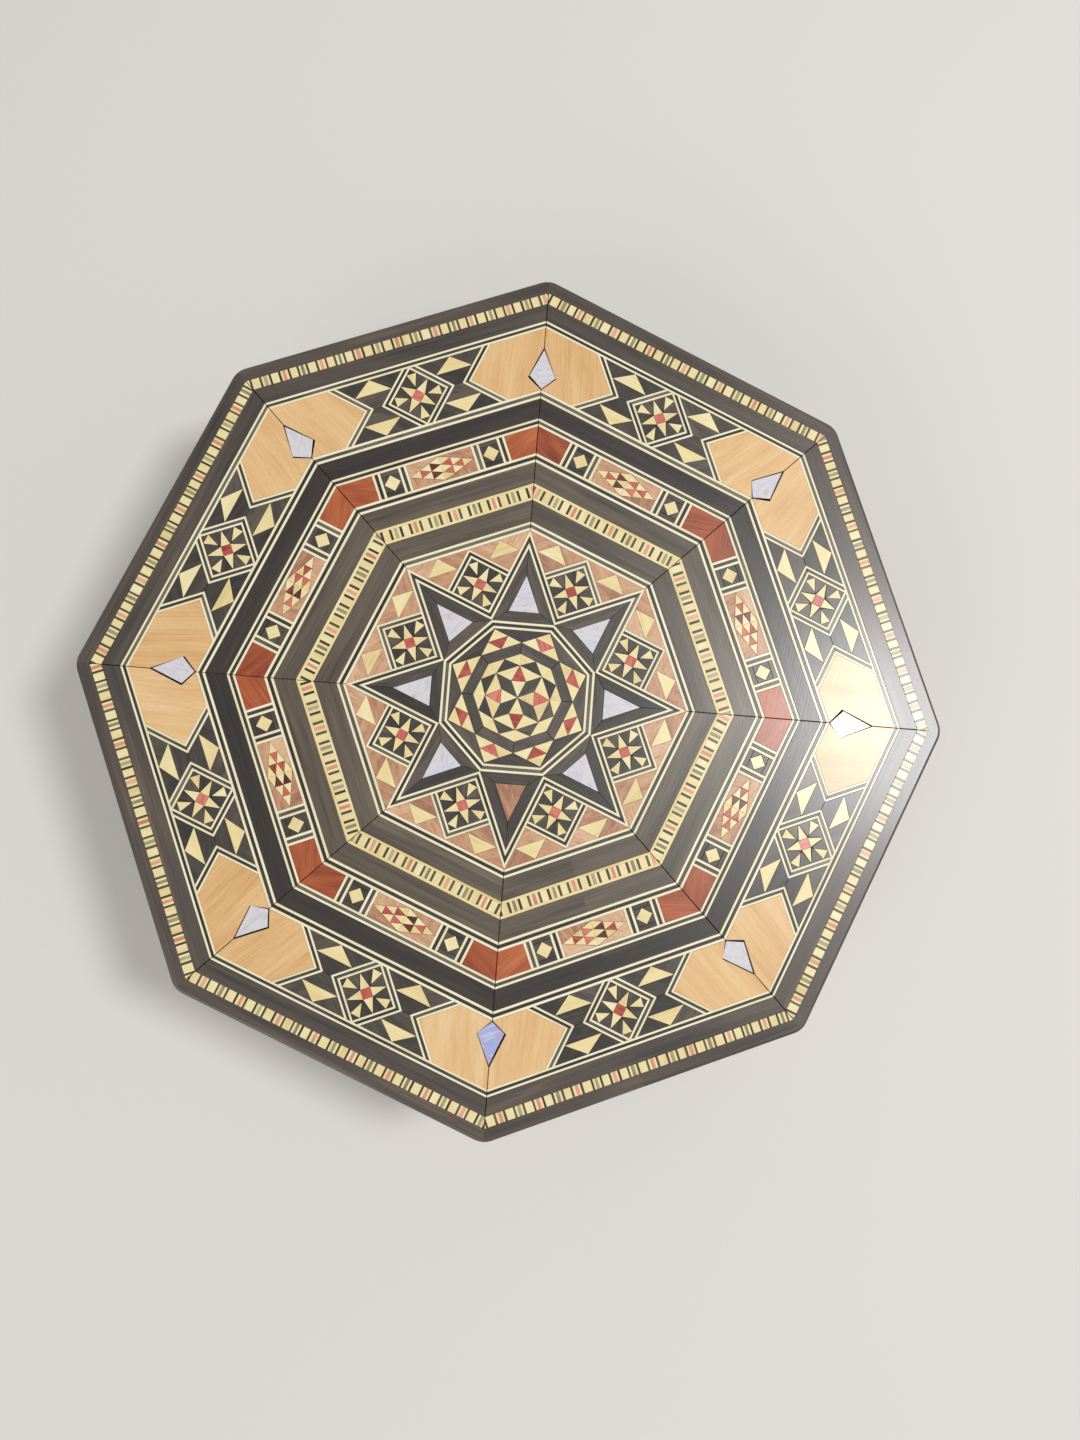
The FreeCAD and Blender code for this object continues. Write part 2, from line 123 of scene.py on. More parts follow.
def in_sector(points, gap=MITRE):
    """What lies between a side's two mitres, less the width of the mitre line."""
    points = clip(points, HALF_COS, -HALF_SIN, -gap)
    return clip(points, -HALF_COS, -HALF_SIN, -gap) if points else points


def band(outer, inner):
    """One side's length of a ring between two distances from the middle."""
    return in_sector([(-outer, outer), (outer, outer), (outer, inner), (-outer, inner)])


def area_of(points):
    return sum(a[0] * b[1] - b[0] * a[1] for a, b in zip(points, points[1:] + points[:1])) / 2


def inset(points, d):
    """The outline moved in by d on every edge; the points run anticlockwise."""
    moved = []
    n = len(points)
    for i in range(n):
        a, b, c = points[i - 1], points[i], points[(i + 1) % n]
        d1 = Vector((b[0] - a[0], b[1] - a[1])).normalized()
        d2 = Vector((c[0] - b[0], c[1] - b[1])).normalized()
        n1 = Vector((-d1.y, d1.x))
        n2 = Vector((-d2.y, d2.x))
        m = (n1 + n2) / max(0.35, 1 + n1.dot(n2))
        moved.append((b[0] + m.x * d, b[1] + m.y * d))
    return moved


def tidy(points):
    """Anticlockwise, with no two points in one place."""
    kept = []
    for p in points:
        if not kept or math.dist(p, kept[-1]) > 0.02:
            kept.append(p)
    if len(kept) > 1 and math.dist(kept[0], kept[-1]) <= 0.02:
        kept.pop()
    if len(kept) < 3 or abs(area_of(kept)) < 0.01:
        return None
    return kept if area_of(kept) > 0 else kept[::-1]


class Chips:
    """Flat chips of one wood, on the lid or on a wall, gathered into one mesh."""

    def __init__(self):
        self.verts = []
        self.faces = []
        self.uvs = []

    def add(self, points, grain=0.0, top=0.0, joint=JOINT, place=None):
        points = tidy(points)
        if not points:
            return
        outer = inset(points, joint)
        upper = inset(points, joint + EASE)
        if area_of(outer) <= 0 or area_of(upper) <= 0:
            return
        start = len(self.verts)
        n = len(points)
        place = place or on_lid
        for ring, depth in ((outer, None), (outer, top - EASE), (upper, top)):
            self.verts += [place(t, v, depth) for t, v in ring]
        c, s = math.cos(grain), math.sin(grain)
        flat = [(t * c + v * s, v * c - t * s) for t, v in outer + outer + upper]
        self.face(start, range(n - 1, -1, -1), flat)
        for low in (0, n):
            for i in range(n):
                j = (i + 1) % n
                self.face(start, (low + i, low + j, low + n + j, low + n + i), flat)
        self.face(start, range(2 * n, 3 * n), flat)

    def face(self, start, order, flat):
        self.faces.append([start + i for i in order])
        self.uvs += [(flat[i][0] * MM, flat[i][1] * MM) for i in order]


def on_lid(t, v, depth):
    """A point of the lid's back side; depth is up from its top face, None its inlay's foot."""
    z = INLAY_LOW if depth is None else LID_TOP + depth
    return (-t * MM, v * MM, z * MM)


def on_wall(t, v, depth):
    """A point of the back wall, or of the lid's back side, at height v."""
    r = WALL_BACK if depth is None else WALL_FACE + depth
    return (-t * MM, r * MM, v * MM)


# ------------------------------------------------------------------ node trees
def node(tree, kind, links=None, **values):
    """Add a node; links maps inputs to sockets, values set inputs (i0, i1...) or settings."""
    made = tree.nodes.new(kind)
    for key, value in values.items():
        if key[0] == "i" and key[1:].isdigit():
            made.inputs[int(key[1:])].default_value = value
        else:
            setattr(made, key, value)
    for key, socket in (links or {}).items():
        tree.links.new(socket, made.inputs[key])
    return made


def repeat_tree():
    """Copies of one side round the box; each chip gets its own tone and place in the wood."""
    tree = bpy.data.node_groups.new("copies_round_the_box", "GeometryNodeTree")
    face = tree.interface
    face.new_socket("Geometry", in_out="INPUT", socket_type="NodeSocketGeometry")
    copies = face.new_socket("Copies", in_out="INPUT", socket_type="NodeSocketInt")
    turn = face.new_socket("First turn", in_out="INPUT", socket_type="NodeSocketFloat")
    seed = face.new_socket("Seed", in_out="INPUT", socket_type="NodeSocketInt")
    cover = face.new_socket("Material", in_out="INPUT", socket_type="NodeSocketMaterial")
    face.new_socket("Geometry", in_out="OUTPUT", socket_type="NodeSocketGeometry")
    copies.default_value = SIDES
    seed.default_value = 1
    enter = node(tree, "NodeGroupInput")
    points = node(tree, "GeometryNodePoints", {0: enter.outputs["Copies"]})
    index = node(tree, "GeometryNodeInputIndex")
    angle = node(tree, "ShaderNodeMath", {0: index.outputs[0], 2: enter.outputs["First turn"]},
                 operation="MULTIPLY_ADD", i1=SECTOR)
    turned = node(tree, "ShaderNodeCombineXYZ", {2: angle.outputs[0]})
    rotation = node(tree, "FunctionNodeEulerToRotation", {0: turned.outputs[0]})
    copied = node(tree, "GeometryNodeInstanceOnPoints",
                  {"Points": points.outputs[0], "Instance": enter.outputs["Geometry"],
                   "Rotation": rotation.outputs[0]})
    real = node(tree, "GeometryNodeRealizeInstances", {0: copied.outputs[0]})
    island = node(tree, "GeometryNodeInputMeshIsland")
    shift = node(tree, "FunctionNodeRandomValue", data_type="FLOAT_VECTOR")
    tree.links.new(island.outputs[0], shift.inputs["ID"])
    tree.links.new(enter.outputs["Seed"], shift.inputs["Seed"])
    old = node(tree, "GeometryNodeInputNamedAttribute", data_type="FLOAT_VECTOR")
    old.inputs["Name"].default_value = "UVMap"
    moved = node(tree, "ShaderNodeVectorMath", {0: old.outputs[0], 1: shift.outputs[0]},
                 operation="ADD")
    store = node(tree, "GeometryNodeStoreNamedAttribute", {"Geometry": real.outputs[0]},
                 data_type="FLOAT2", domain="CORNER")
    store.inputs["Name"].default_value = "UVMap"
    tree.links.new(moved.outputs[0], store.inputs["Value"])
    tone = node(tree, "FunctionNodeRandomValue", data_type="FLOAT")
    tree.links.new(island.outputs[0], tone.inputs["ID"])
    tree.links.new(enter.outputs["Seed"], tone.inputs["Seed"])
    paint = node(tree, "GeometryNodeStoreNamedAttribute", {"Geometry": store.outputs[0]},
                 data_type="FLOAT", domain="FACE")
    paint.inputs["Name"].default_value = "tone"
    value = next(o for o in tone.outputs if o.enabled and o.type == "VALUE")
    tree.links.new(value, paint.inputs["Value"])
    clad = node(tree, "GeometryNodeSetMaterial",
                {0: paint.outputs[0], "Material": enter.outputs["Material"]})
    node(tree, "NodeGroupOutput", {0: clad.outputs[0]})
    ids = {"copies": copies.identifier, "turn": turn.identifier, "seed": seed.identifier,
           "material": cover.identifier}
    return tree, ids


REPEAT, REPEAT_IDS = repeat_tree()


def settle(obj, name, material, copies=SIDES, turn=0.0, seed=1):
    """Run the repeating tree on an object and keep its result as a plain mesh."""
    bpy.context.scene.collection.objects.link(obj)
    change = obj.modifiers.new("copies", "NODES")
    change.node_group = REPEAT
    change[REPEAT_IDS["copies"]] = copies
    change[REPEAT_IDS["turn"]] = turn
    change[REPEAT_IDS["seed"]] = seed
    change[REPEAT_IDS["material"]] = material
    bpy.context.view_layer.update()
    graph = bpy.context.evaluated_depsgraph_get()
    mesh = bpy.data.meshes.new_from_object(obj.evaluated_get(graph), depsgraph=graph)
    mesh.name = name
    obj.modifiers.remove(change)
    obj.data = mesh
    obj.name = name
    return obj


def piece_of(chips, name, material, body, nodes=(), slot=None, seed=1, copies=SIDES, turn=0.0):
    """The finished piece: one side's chips copied round the box, riding on its body."""
    mesh = bpy.data.meshes.new(name)
    mesh.from_pydata([Vector(v) for v in chips.verts], [], chips.faces)
    layer = mesh.uv_layers.new(name="UVMap")
    for loop, uv in zip(layer.data, chips.uvs):
        loop.uv = uv
    mesh.validate()
    obj = settle(bpy.data.objects.new(name, mesh), name, material, copies, turn, seed)
    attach(obj, body)
    if nodes:
        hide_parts(*nodes)
    return obj


# ------------------------------------------------------------------ colour and wood
def linear(code):
    """A #RRGGBB colour as linear RGBA."""
    parts = [int(code[i:i + 2], 16) / 255 for i in (1, 3, 5)]
    return tuple(p / 12.92 if p <= 0.04045 else ((p + 0.055) / 1.055) ** 2.4
                 for p in parts) + (1.0,)


def new_material(name):
    made = bpy.data.materials.new(name)
    made.use_nodes = True
    tree = made.node_tree
    return made, tree, tree.nodes["Principled BSDF"]


def ramp(tree, socket, colours):
    """Colours spread evenly over a value from 0 to 1."""
    made = node(tree, "ShaderNodeValToRGB", {0: socket})
    elements = made.color_ramp.elements
    while len(elements) < len(colours):
        elements.new(0.5)
    for i, (element, code) in enumerate(zip(elements, colours)):
        element.position = i / (len(colours) - 1)
        element.color = linear(code)
    return made.outputs[0]


def chip_space(tree):
    """Grain space of a chip: along its grain, then across, from its own map."""
    return node(tree, "ShaderNodeUVMap", uv_map="UVMap").outputs[0]


def side_space(tree):
    """Grain space of a mitred band: the position turned back to the side it lies on.

    x runs along that side, and each side starts at another place in the wood.
    """
    place = node(tree, "ShaderNodeTexCoord").outputs["Object"]
    parts = node(tree, "ShaderNodeSeparateXYZ", {0: place})
    angle = node(tree, "ShaderNodeMath", {0: parts.outputs[0], 1: parts.outputs[1]},
                 operation="ARCTAN2")
    steps = node(tree, "ShaderNodeMath", {0: angle.outputs[0]}, operation="DIVIDE", i1=SECTOR)
    side = node(tree, "ShaderNodeMath", {0: steps.outputs[0]}, operation="ROUND")
    back = node(tree, "ShaderNodeMath", {0: side.outputs[0]}, operation="MULTIPLY", i1=SECTOR)
    turned = node(tree, "ShaderNodeVectorRotate", {"Vector": place, "Angle": back.outputs[0]},
                  rotation_type="Z_AXIS")
    offset = node(tree, "ShaderNodeCombineXYZ", {0: side.outputs[0], 1: side.outputs[0]})
    spread = node(tree, "ShaderNodeVectorMath", {0: offset.outputs[0]}, operation="MULTIPLY",
                  i1=(0.37, 0.73, 0.0))
    return node(tree, "ShaderNodeVectorMath", {0: turned.outputs[0], 1: spread.outputs[0]},
                operation="ADD").outputs[0]


def stretched(tree, space, length, width, detail, roughness=0.6, distortion=0.0):
    """Noise drawn out along the first axis: length and width of one streak in millimetres."""
    scaled = node(tree, "ShaderNodeMapping", {"Vector": space})
    scaled.inputs["Scale"].default_value = (1 / (length * MM), 1 / (width * MM), 1 / (width * MM))
    made = node(tree, "ShaderNodeTexNoise", {"Vector": scaled.outputs[0]})
    made.inputs["Scale"].default_value = 1.0
    made.inputs["Detail"].default_value = detail
    made.inputs["Roughness"].default_value = roughness
    made.inputs["Distortion"].default_value = distortion
    return made.outputs[0]


SCRATCH_TURN = math.radians(-58)
SCRATCH = (18, 0.3)       # one mark's length and width (mm), drawn wide so that it shows


def scratches(tree):
    """Fine parallel sanding marks left under the lacquer, the same way all over the box."""
    place = node(tree, "ShaderNodeTexCoord").outputs["Object"]
    turned = node(tree, "ShaderNodeVectorRotate", {"Vector": place}, rotation_type="Z_AXIS")
    turned.inputs["Angle"].default_value = SCRATCH_TURN
    return stretched(tree, turned.outputs[0], *SCRATCH, 2.0, 0.5)


def wood(name, colours, space_of=chip_space, streak=(22, 0.9), figure=(45, 6), spread=0.16,
         gloss=0.34, coat=0.45, speckle=0.0):
    """A lacquered wood: broad figure, fine streaks and pores along the grain, tone by the piece.

    colours run from the dark streaks to the light ones.
    """
    made, tree, shader = new_material(name)
    space = space_of(tree)
    fine = stretched(tree, space, streak[0], streak[1], 6.0, 0.65, 0.2)
    broad = stretched(tree, space, figure[0], figure[1], 3.0, 0.5, 0.6)
    mixed = node(tree, "ShaderNodeMath", {0: fine, 1: broad}, operation="ADD")
    if space_of is chip_space:
        tone = node(tree, "ShaderNodeAttribute", attribute_name="tone").outputs["Fac"]
        tone = node(tree, "ShaderNodeMath", {0: tone}, operation="SUBTRACT", i1=0.5).outputs[0]
        mixed = node(tree, "ShaderNodeMath", {0: tone, 2: mixed.outputs[0]},
                     operation="MULTIPLY_ADD", i1=spread * 2)
    level = node(tree, "ShaderNodeMapRange", {"Value": mixed.outputs[0]})
    level.inputs["From Min"].default_value = 0.62
    level.inputs["From Max"].default_value = 1.38
    colour = ramp(tree, level.outputs[0], colours)
    if speckle:
        pore = stretched(tree, space, 1.6, 0.35, 2.0, 0.5)
        keep = node(tree, "ShaderNodeMapRange", {"Value": pore})
        keep.inputs["From Min"].default_value = 0.56
        keep.inputs["From Max"].default_value = 0.68
        keep.inputs["To Max"].default_value = speckle
        dark = node(tree, "ShaderNodeMix", {0: keep.outputs[0], 6: colour}, data_type="RGBA",
                    blend_type="MULTIPLY")
        dark.inputs[7].default_value = (0.35, 0.25, 0.2, 1)
        colour = dark.outputs[2]
    tree.links.new(colour, shader.inputs["Base Color"])
    marks = scratches(tree)
    rough = node(tree, "ShaderNodeMapRange", {"Value": fine})
    rough.inputs["To Min"].default_value = gloss - 0.06
    rough.inputs["To Max"].default_value = gloss + 0.12
    tree.links.new(rough.outputs[0], shader.inputs["Roughness"])
    raised = node(tree, "ShaderNodeMath", {0: fine, 1: marks}, operation="ADD")
    bump = node(tree, "ShaderNodeBump", {"Height": raised.outputs[0]})
    bump.inputs["Strength"].default_value = 0.35
    bump.inputs["Distance"].default_value = 0.03 * MM
    tree.links.new(bump.outputs[0], shader.inputs["Normal"])
    veil = node(tree, "ShaderNodeBump", {"Height": marks})
    veil.inputs["Strength"].default_value = 0.5
    veil.inputs["Distance"].default_value = 0.02 * MM
    tree.links.new(veil.outputs[0], shader.inputs["Coat Normal"])
    shader.inputs["IOR"].default_value = 1.5
    shader.inputs["Coat Weight"].default_value = coat
    shader.inputs["Coat Roughness"].default_value = 0.22
    return made


# Ring bands: walnut quartered and steamed, grain along each length, satin lacquer over sanding.
WALNUT_EDGE = wood("walnut_outer", ["#2E2824", "#4A4038", "#5A4E44", "#7A6858"], side_space,
                   streak=(30, 0.8), figure=(60, 7))
WALNUT_DARK = wood("walnut_darkest", ["#1E1814", "#2E2620", "#3A3028", "#4C4036"], side_space,
                   streak=(30, 0.8), figure=(60, 7))
WALNUT_LIGHT = wood("walnut_inner", ["#3A3028", "#554A3E", "#685C4C", "#7E705C"], side_space,
                    streak=(26, 0.7), figure=(50, 5))
# Chips: boxwood cream, stained pear red, walnut dark, dyed lines, padauk, salmon-coloured plum.
CREAM = wood("boxwood_cream", ["#E3C98C", "#F2DC9E", "#F7E6AC", "#FBEFC0"], streak=(9, 0.5),
             figure=(14, 3), spread=0.2)
DARK = wood("walnut_chips", ["#2A241F", "#3C342D", "#4A4138", "#62564A"], streak=(7, 0.45),
            figure=(12, 2.5), spread=0.3)
RED = wood("pear_stained_red", ["#9A2E28", "#C2544A", "#D2695C", "#E08A78"], streak=(5, 0.4),
           figure=(6, 1.4), spread=0.25)
DEEP_RED = wood("pear_stained_deep_red", ["#3A0E0C", "#5E1A17", "#7C2822", "#A04A3E"],
                streak=(5, 0.4), figure=(6, 1.4), spread=0.25)
MAPLE = wood("maple_honey", ["#D9A468", "#E6B87C", "#EFC68C", "#F5D4A0"], streak=(16, 0.6),
             figure=(30, 5), spread=0.14, speckle=0.12)
PADAUK = wood("padauk_red_brown", ["#7E3216", "#A0481F", "#B55A2C", "#C87040"], streak=(10, 0.5),
              figure=(18, 3), spread=0.2)
SALMON = wood("plum_salmon", ["#A8745A", "#C89470", "#D6A680", "#E6BE98"], streak=(5, 0.4),
              figure=(8, 2), spread=0.34, speckle=0.5)
WHITE = wood("holly_lines", ["#E8DCB4", "#F8ECC4", "#FFF4D2", "#FFF8E0"], streak=(12, 0.4),
             figure=(20, 3), spread=0.12)
BLACK = wood("dyed_black_lines", ["#1E1C16", "#2E2C24", "#45433A", "#6E6A5A"], streak=(10, 0.4),
             figure=(24, 3), spread=0.42)
PINK = wood("pink_bars", ["#CC7E64", "#DE9478", "#E8A68A", "#F0B8A0"], streak=(4, 0.3),
            figure=(6, 1), spread=0.25)
OLIVE = wood("olive_bars", ["#7A7654", "#928C68", "#A49E78", "#C0B890"], streak=(4, 0.3),
             figure=(6, 1), spread=0.3)
BARS_DARK = wood("dark_bars", ["#26231B", "#38342A", "#4A463A", "#5E5848"], streak=(4, 0.3),
                 figure=(6, 1), spread=0.35)
# Beech boards: pale and plain, with short dark flecks, wiped with one thin coat.
BEECH = wood("beech_board", ["#B98C5C", "#CBA070", "#D8B084", "#E2BE94"], side_space,
             streak=(14, 0.6), figure=(60, 12), coat=0.1, gloss=0.55, speckle=0.2)


def make_pearl(name, colours):
    """Mother-of-pearl, ground flat: pale layers that shift from silver to lilac, under lacquer."""
    made, tree, shader = new_material(name)
    space = chip_space(tree)
    layers = stretched(tree, space, 9, 0.8, 5.0, 0.6, 1.2)
    clouds = stretched(tree, space, 5, 3, 2.0, 0.5, 0.5)
    both = node(tree, "ShaderNodeMath", {0: layers, 1: clouds}, operation="ADD")
    level = node(tree, "ShaderNodeMapRange", {"Value": both.outputs[0]})
    level.inputs["From Min"].default_value = 0.65
    level.inputs["From Max"].default_value = 1.35
    tree.links.new(ramp(tree, level.outputs[0], colours), shader.inputs["Base Color"])
    bump = node(tree, "ShaderNodeBump", {"Height": layers})
    bump.inputs["Strength"].default_value = 0.25
    bump.inputs["Distance"].default_value = 0.03 * MM
    tree.links.new(bump.outputs[0], shader.inputs["Normal"])
    shader.inputs["Roughness"].default_value = 0.26
    shader.inputs["IOR"].default_value = 1.6
    shader.inputs["Coat Weight"].default_value = 0.5
    shader.inputs["Coat Roughness"].default_value = 0.12
    return made


PEARL = make_pearl("mother_of_pearl", ["#C4BEBE", "#DAD4D4", "#E4E0E2", "#D2CCDA", "#F0ECEA"])
PEARL_BLUE = make_pearl("mother_of_pearl_blue",
                        ["#8FA8D8", "#A8BCE6", "#B9A8D8", "#C4D6F2", "#9CB4E0"])


def make_plain(name, colours, grain_mm, roughness, metallic=0.0, bump_mm=0.02, sheen=0.0):
    """A material whose colour and height vary in even clouds of grain_mm."""
    made, tree, shader = new_material(name)
    place = node(tree, "ShaderNodeTexCoord").outputs["Object"]
    cloud = stretched(tree, place, grain_mm, grain_mm, 4.0)
    level = node(tree, "ShaderNodeMapRange", {"Value": cloud})
    level.inputs["From Min"].default_value = 0.3
    level.inputs["From Max"].default_value = 0.7
    tree.links.new(ramp(tree, level.outputs[0], colours), shader.inputs["Base Color"])
    bump = node(tree, "ShaderNodeBump", {"Height": cloud})
    bump.inputs["Strength"].default_value = 0.6
    bump.inputs["Distance"].default_value = bump_mm * MM
    tree.links.new(bump.outputs[0], shader.inputs["Normal"])
    shader.inputs["Roughness"].default_value = roughness
    shader.inputs["Metallic"].default_value = metallic
    shader.inputs["Sheen Weight"].default_value = sheen
    shader.inputs["Sheen Roughness"].default_value = 0.35
    return made


# Black mastic round the pearl and in the joints: dull, lumpy, brown-black.
MASTIC = make_plain("black_mastic", ["#14110E", "#221C17", "#2E261F"], 0.8, 0.6)
# Short-pile velvet: the pile catches light at its edges, and hand marks leave darker clouds.
VELVET = make_plain("velvet_wine", ["#3A070D", "#5A0C14", "#741420"], 7.0, 0.85, bump_mm=0.3,
                    sheen=0.9)
# Pressed wool felt: matt, fibrous, bottle green.
FELT = make_plain("felt_green", ["#14281C", "#1E3A28", "#284832"], 0.7, 0.95, bump_mm=0.15,
                  sheen=0.2)
# Rolled brass, lightly polished: yellow, with faint cloudy tarnish.
BRASS = make_plain("brass_rolled", ["#B48A3A", "#C69C4A", "#D2AC5C"], 1.2, 0.3, 1.0, 0.01)


# ------------------------------------------------------------------ motifs
class Kit(dict):
    """Chips by wood, made as they are first asked for."""

    def __missing__(self, key):
        self[key] = Chips()
        return self[key]


def laminate(kit, points, along, place=None):
    """A strip of white, black and white from an outline; along is the strip's direction."""
    direction = Vector(along).normalized()
    across = Vector((-direction.y, direction.x))
    levels = [across.dot(Vector(p)) for p in points]
    low, high = min(levels), max(levels)
    cuts = (low, low + (high - low) * WHITE_SHARE, high - (high - low) * WHITE_SHARE, high)
    grain = math.atan2(direction.y, direction.x)
    for i, key in enumerate(("white", "black", "white")):
        part = clip(points, across.x, across.y, cuts[i + 1])
        part = clip(part, -across.x, -across.y, -cuts[i]) if part else part
        if part:
            kit[key].add(part, grain, joint=0.01, place=place)


def star_tile(kit, centre, half, place=None):
    """A square tile on its corner: a red diamond, a four-armed cream star and four corner darts."""
    cx, cy = centre

    def at(x, y):
        return (cx + x * half, cy + y * half)

    red, throat, dart, base, arm = 0.24, 0.27, 0.34, 0.82, 0.5
    for q in range(4):
        a = q * math.pi / 2
        c, s = round(math.cos(a)), round(math.sin(a))

        def turn(x, y):
            return at(x * c - y * s, x * s + y * c)

        kit["cream"].add([turn(dart, 0), turn(base, 1 - base), turn(base, base - 1)], a,
                         place=place)
        kit["cream"].add([turn(red, 0), turn(arm, arm), turn(0, red)], a + math.pi / 4,
                         place=place)
        kit["dark"].add([turn(throat, 0), turn(dart, 0), turn(base, 1 - base), turn(arm, arm)],
                        a + 0.4, place=place)
        kit["dark"].add([turn(throat, 0), turn(arm, -arm), turn(base, base - 1), turn(dart, 0)],
                        a - 0.4, place=place)
        kit["dark"].add([turn(base, 1 - base), turn(base, base - 1), turn(1, 0)], a, place=place)
    kit["red"].add([at(red, 0), at(0, red), at(-red, 0), at(0, -red)], 0.6, place=place)


def wedge_unit(kit, left, right, feet, wood_key, place=None):
    """A wedge with its long edge from left to right: a cream triangle stands in three others."""
    mid = ((left[0] + right[0]) / 2, (left[1] + right[1]) / 2)
    m1 = ((left[0] + feet[0][0]) / 2, (left[1] + feet[0][1]) / 2)
    m2 = ((right[0] + feet[-1][0]) / 2, (right[1] + feet[-1][1]) / 2)
    kit["cream"].add([mid, m1, m2], 0.0, place=place)
    kit[wood_key].add([left, m1, mid], 0.7, place=place)
    kit[wood_key].add([mid, m2, right], -0.7, place=place)
    kit[wood_key].add([m1] + feet + [m2], 0.1, place=place)


def star_band(kit, middle, half, corner, place=None):
    """One side of a star band: panels with arrow points, stringing, wedges, frame and tile."""
    tile = half - TILE_EDGE_GAP
    frame_d = tile + STRING_W * ROOT2
    arrow = frame_d + NECK
    panel = arrow + STRING_W * ROOT2
    star_tile(kit, (0, middle), tile, place)
    for sx in (1, -1):
        for sy in (1, -1):
            rod = clip([(sx * tile, 0), (sx * frame_d, 0), (0, sy * frame_d), (0, sy * tile)],
                       0, sy, half)
            laminate(kit, [(t, v + middle) for t, v in rod], (sx, -sy), place)
            rod = [(sx * arrow, 0), (sx * panel, 0), (sx * (panel + half), sy * half),
                   (sx * (arrow + half), sy * half)]
            laminate(kit, [(t, v + middle) for t, v in rod], (sx, sy), place)
            edge = middle + sy * half
            wedge_unit(kit, (sx * (frame_d - half), edge), (sx * (arrow + half), edge),
                       [(sx * frame_d, middle), (sx * arrow, middle)], "dark", place)
        outline = [(sx * panel, middle), (sx * (panel + half), middle + half)] + corner(sx) + \
                  [(sx * (panel + half), middle - half)]
        kit["maple"].add(outline, sx * 1.1, place=place)


def striped(kit, seed, low, high, length, place=None, mitred=True):
    """A slice of laminated stick: cream blocks, dark lines, and pink or olive between creams."""
    rng = random.Random(seed)
    period = (("cream", 2.15), ("bar", 0.58), ("cream", 0.66), ("pink", 0.86), ("cream", 0.62),
              ("bar", 0.6), ("cream", 2.15), ("bar", 0.56), ("cream", 0.62), ("olive", 0.84),
              ("cream", 0.66), ("bar", 0.6))
    t = -length - rng.uniform(0, 9)
    i = 0
    while t < length:
        key, width = period[i % len(period)]
        width *= rng.uniform(0.9, 1.1)
        box = [(max(t, -length), low), (min(t + width, length), low),
               (min(t + width, length), high), (max(t, -length), high)]
        if t + width > -length:
            kit[key].add(in_sector(box) if mitred else box, math.pi / 2, joint=0.0, place=place)
        t += width
        i += 1


def finish_kit(kit, prefix, body, stands_for, seed=1, copies=SIDES, turn=0.0):
    """Every wood of a kit as one piece; stands_for maps a wood to (CAD nodes, slot)."""
    for n, (key, chips) in enumerate(sorted(kit.items())):
        nodes, slot = stands_for.get(key, ((), None))
        piece_of(chips, prefix + "_" + key, WOODS[key], body, nodes, slot or SLOTS[key],
                 seed * 31 + n, copies, turn)


WOODS = {"cream": CREAM, "dark": DARK, "red": RED, "deep_red": DEEP_RED, "maple": MAPLE,
         "padauk": PADAUK, "salmon": SALMON, "white": WHITE, "black": BLACK, "pink": PINK,
         "olive": OLIVE, "bar": BARS_DARK, "walnut_edge": WALNUT_EDGE, "walnut_dark": WALNUT_DARK,
         "walnut_light": WALNUT_LIGHT, "mastic": MASTIC, "pearl": PEARL}
SLOTS = {"cream": "marquetry", "dark": "marquetry", "red": "marquetry", "deep_red": "marquetry",
         "maple": "maple", "padauk": "padauk", "salmon": "marquetry", "white": "stringing",
         "black": "stringing", "pink": "stripes", "olive": "stripes", "bar": "stripes",
         "walnut_edge": "walnut", "walnut_dark": "walnut", "walnut_light": "walnut",
         "mastic": "dark_wood", "pearl": "pearl"}


# ------------------------------------------------------------------ the lid's inlay
def lid_rings():
    """The walnut bands and the five rings of stringing."""
    kit = Kit()
    kit["walnut_edge"].add(band(WALNUT_OUT, RING_1), 0)
    kit["walnut_dark"].add(band(WALNUT_MID, RING_3), 0)
    kit["walnut_light"].add(band(WALNUT_IN, STRIPE_IN), 0)
    kit["walnut_light"].add(band(WALNUT_CENTRE, RING_5), 0)
    finish_kit(kit, "lid_band", "lid", {
        "walnut_edge": (("outer_walnut_band",), "walnut"),
        "walnut_dark": (("middle_walnut_band",), "walnut"),
        "walnut_light": (("inner_walnut_band", "centre_walnut_band"), "walnut")}, 1)
    kit = Kit()
    for outer, inner in ((RING_1, WIDE), (RING_2, WALNUT_MID), (RING_3, NARROW),
                         (RING_4, WALNUT_IN), (RING_5, PANEL)):
        laminate(kit, band(outer, inner), (1, 0))
    rings = ("stringing_ring_1", "stringing_ring_2", "stringing_ring_3", "stringing_ring_4",
             "stringing_ring_5")
    finish_kit(kit, "lid_ring", "lid", {"white": (rings, "stringing")}, 2)


def lid_stripes():
    """The two striped bands: each side is a slice with its own start, so sides differ."""
    border_out, border_in = 0.75, 0.68
    for k in range(SIDES):
        kit = Kit()
        striped(kit, 100 + k, WALNUT_OUT, STRIPE_OUT, STRIPE_OUT * HALF_TAN + 1)
        inner, outer = WALNUT_CENTRE, STRIPE_IN
        kit["cream"].add(band(outer, outer - border_out), 0, joint=0.0)
        kit["cream"].add(band(inner + border_in, inner), 0, joint=0.0)
        inner_bars(kit, 200 + k, inner + border_in, outer - border_out)
        stripes = ("outer_stripe_band", "inner_stripe_band") if k == 0 else ()
        finish_kit(kit, "lid_stripes_%d" % (k + 1), "lid", {"cream": (stripes, "stripes")}, 3 + k,
                   1, k * SECTOR)


